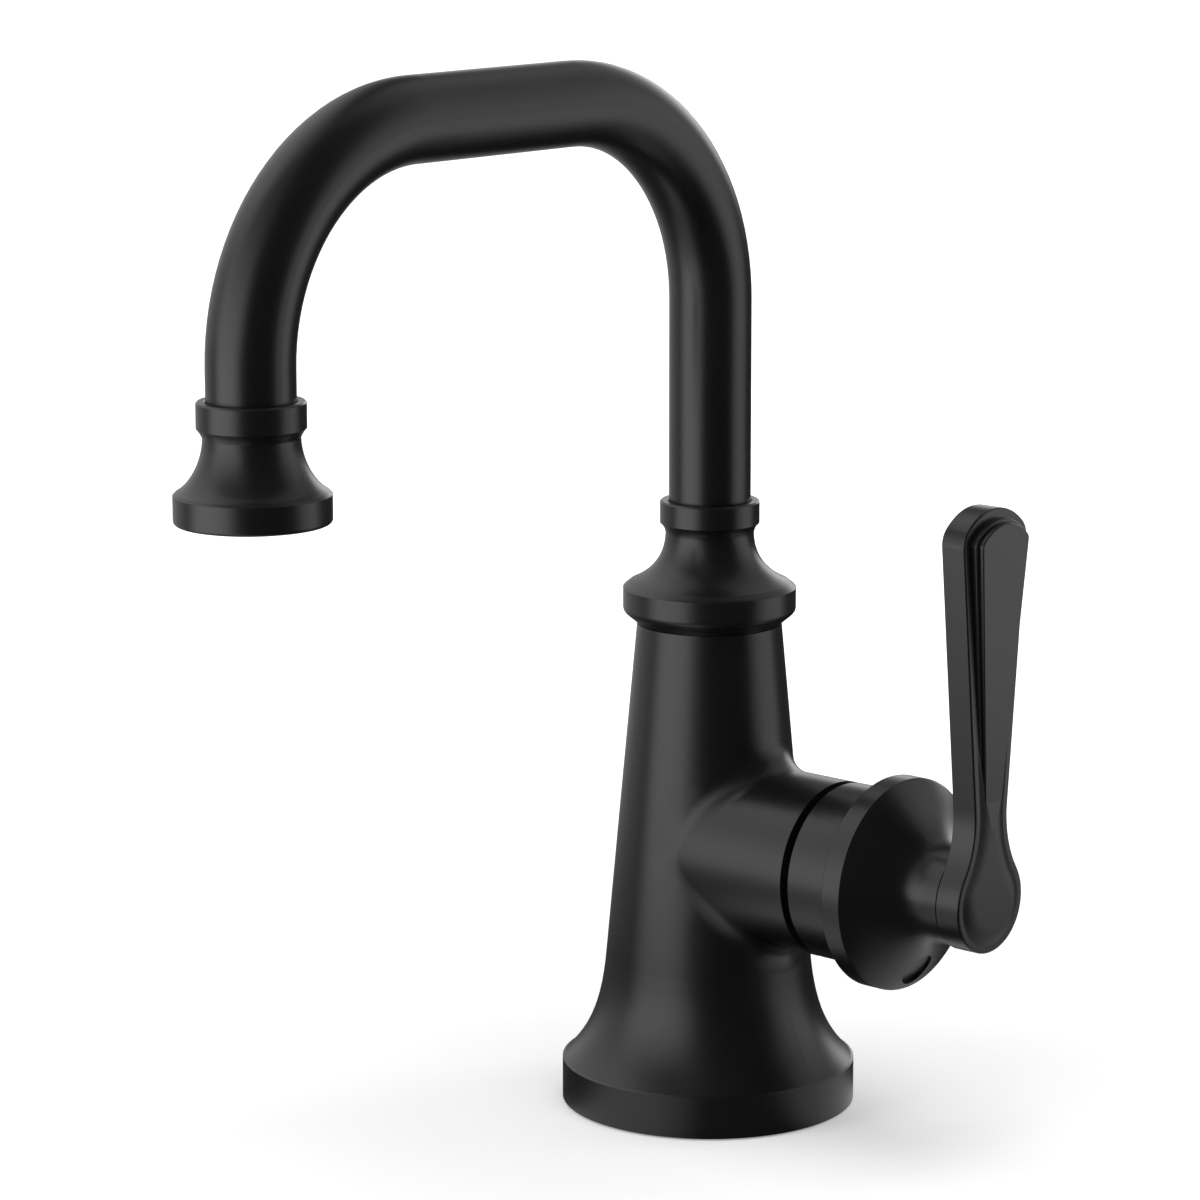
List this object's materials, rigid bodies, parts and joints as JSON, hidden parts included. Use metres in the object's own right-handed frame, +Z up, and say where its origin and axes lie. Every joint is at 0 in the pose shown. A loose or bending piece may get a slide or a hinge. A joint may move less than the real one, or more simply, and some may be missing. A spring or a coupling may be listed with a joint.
{
  "type": "single lever bathroom faucet",
  "caption": "High-arc traditional bathroom faucet with a swivelling tube spout, bell outlet and a side lever that tilts for flow and turns for temperature.",
  "frame": {"origin": "centre of the round base on the deck", "axes": "+Z up, spout reaching towards -Y, lever on the +X side"},
  "size_m": [0.101, 0.1639, 0.2072],
  "materials": {
    "black_coat": "matte black coating on brass and zinc",
    "brass": "machined",
    "steel": "stainless, machined",
    "rubber": "moulded EPDM rubber",
    "plastic": "moulded acetal",
    "plug_plastic": "moulded dark grey plastic",
    "ceramic": "lapped alumina"
  },
  "bodies": {
    "body": {"body_shell": "black_coat", "base_gasket": "rubber", "cartridge_seals": "rubber", "cartridge_base": "plastic", "fixed_disc": "ceramic", "cartridge_housing": "plastic", "cartridge_nut": "brass", "bonnet": "black_coat", "spout_bush": "plastic", "spout_screw": "steel"},
    "carrier": {"stem_carrier": "plastic", "stem_pin": "steel"},
    "disc": {"moving_disc": "ceramic", "disc_holder": "plastic"},
    "handle": {"stem": "brass", "handle_hub": "black_coat", "set_screw": "steel", "plug_button": "plug_plastic", "lever": "black_coat", "lever_screw": "steel"},
    "spout": {"spout_tube": "black_coat", "spout_hub": "black_coat", "spout_foot": "brass", "spout_orings": "rubber", "outlet_bell": "black_coat", "aerator_washer": "rubber", "flow_regulator": "plastic", "aerator_housing": "plastic", "aerator_insert": "plastic", "aerator_grille": "plastic"}
  },
  "joints": [
    {"name": "spout_swivel", "type": "hinge", "parent": "body", "child": "spout", "pos_m": [0, 0, 0.09], "axis": [0, 0, 1], "range_deg": [-60, 60]},
    {"name": "temperature_turn", "type": "hinge", "parent": "body", "child": "carrier", "pos_m": [0.038, 0, 0.052], "axis": [1, 0, 0], "range_deg": [-45, 45]},
    {"name": "flow_tilt", "type": "hinge", "parent": "carrier", "child": "handle", "pos_m": [0.038, 0, 0.052], "axis": [0, 1, 0], "range_deg": [0, 20]},
    {"name": "disc_slide", "type": "slide", "parent": "carrier", "child": "disc", "axis": [0, 0, 1], "range_m": [0, 0.0037]}
  ],
  "couplings": [
    {"joint": "disc_slide", "follows": "flow_tilt", "m_per_rad": 0.0106}
  ]
}
